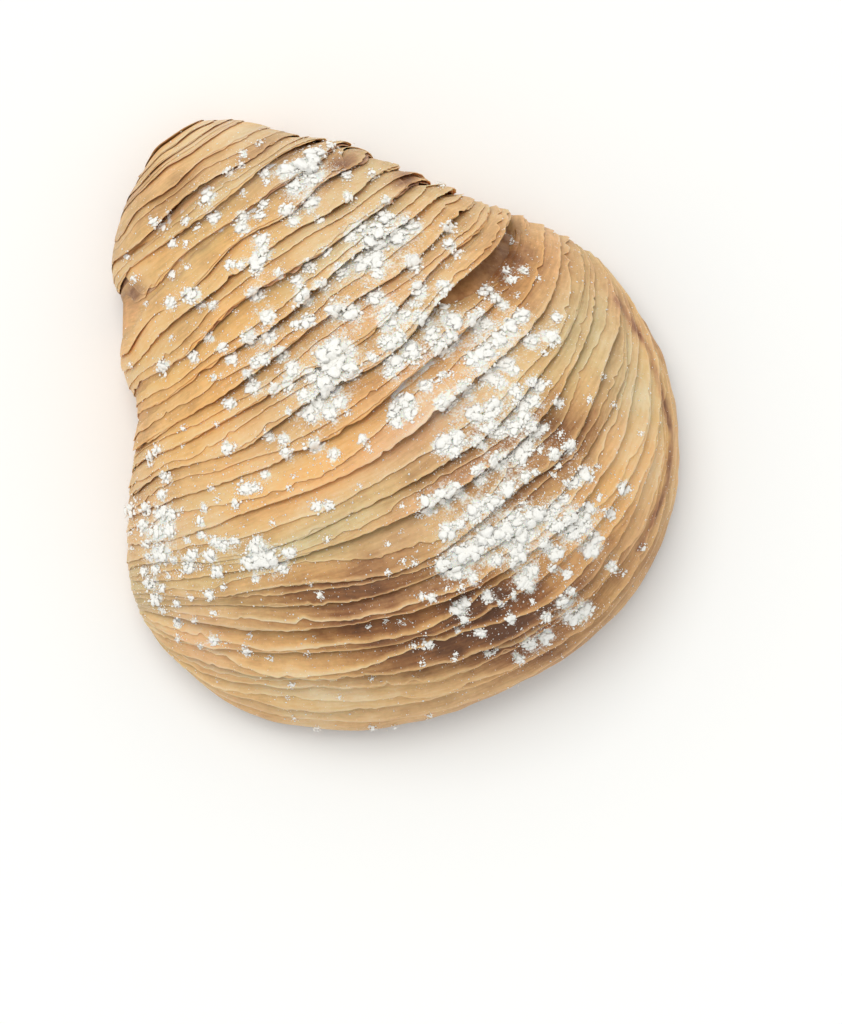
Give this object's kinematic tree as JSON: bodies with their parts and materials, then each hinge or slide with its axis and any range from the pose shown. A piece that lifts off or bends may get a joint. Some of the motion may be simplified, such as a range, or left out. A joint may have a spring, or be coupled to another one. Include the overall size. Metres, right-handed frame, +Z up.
{
  "type": "sfogliatella",
  "caption": "Clam-shaped pastry of thin flaky leaves fanning from two side tips over a domed body, golden brown, dusted with clumps of white sugar.",
  "frame": {"origin": "on the flat underside, below the middle of the pastry's box", "axes": "+Z up from the underside to the crown, +Y toward the narrow rounded back end, -Y toward the wide round front that the leaves lap toward, +X toward the right side tip"},
  "size_m": [0.1058, 0.1184, 0.0488],
  "materials": {
    "baked_dough": "golden baked flaky dough with white sugar on top"
  },
  "bodies": {
    "root": {"sfogliatella": "baked_dough"}
  },
  "joints": []
}
